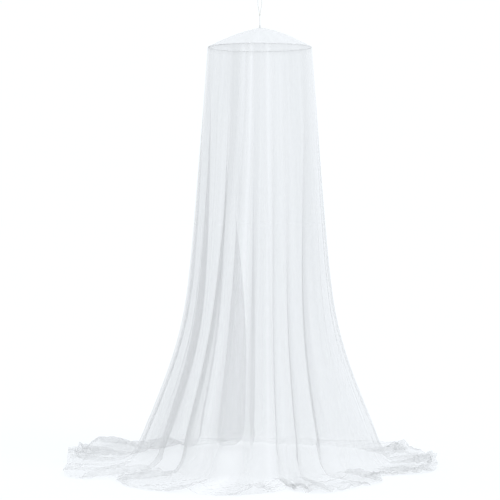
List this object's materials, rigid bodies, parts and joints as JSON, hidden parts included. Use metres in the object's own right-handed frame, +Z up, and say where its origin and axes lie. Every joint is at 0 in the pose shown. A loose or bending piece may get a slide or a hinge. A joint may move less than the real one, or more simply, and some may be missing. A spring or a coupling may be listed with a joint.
{
  "type": "mosquito net canopy and hoop",
  "caption": "Sheer white net that hangs from a round hoop on a cord: a shallow cone roof and a long folded wall that flares out and lies on the floor.",
  "frame": {"origin": "inside the top of the cord's loop, where a ceiling hook bears; the floor that the hem lies on is 2.5 m below", "axes": "+Z up along the cord, -Y towards the front of the picture, +X to its right"},
  "size_m": [1.975, 1.8619, 2.5017],
  "materials": {
    "wall_net": "fine white polyester mosquito net, sheer, soft folds",
    "roof_net": "the same net, stretched over the hoop",
    "hoop_wire": "steel wire painted white, satin",
    "cord": "thin white twisted cord"
  },
  "bodies": {
    "root": {"net_wall": "wall_net", "net_roof": "roof_net", "hoop": "hoop_wire", "cord_stem": "cord", "cord_knot": "cord", "cord_loop": "cord"}
  },
  "joints": []
}
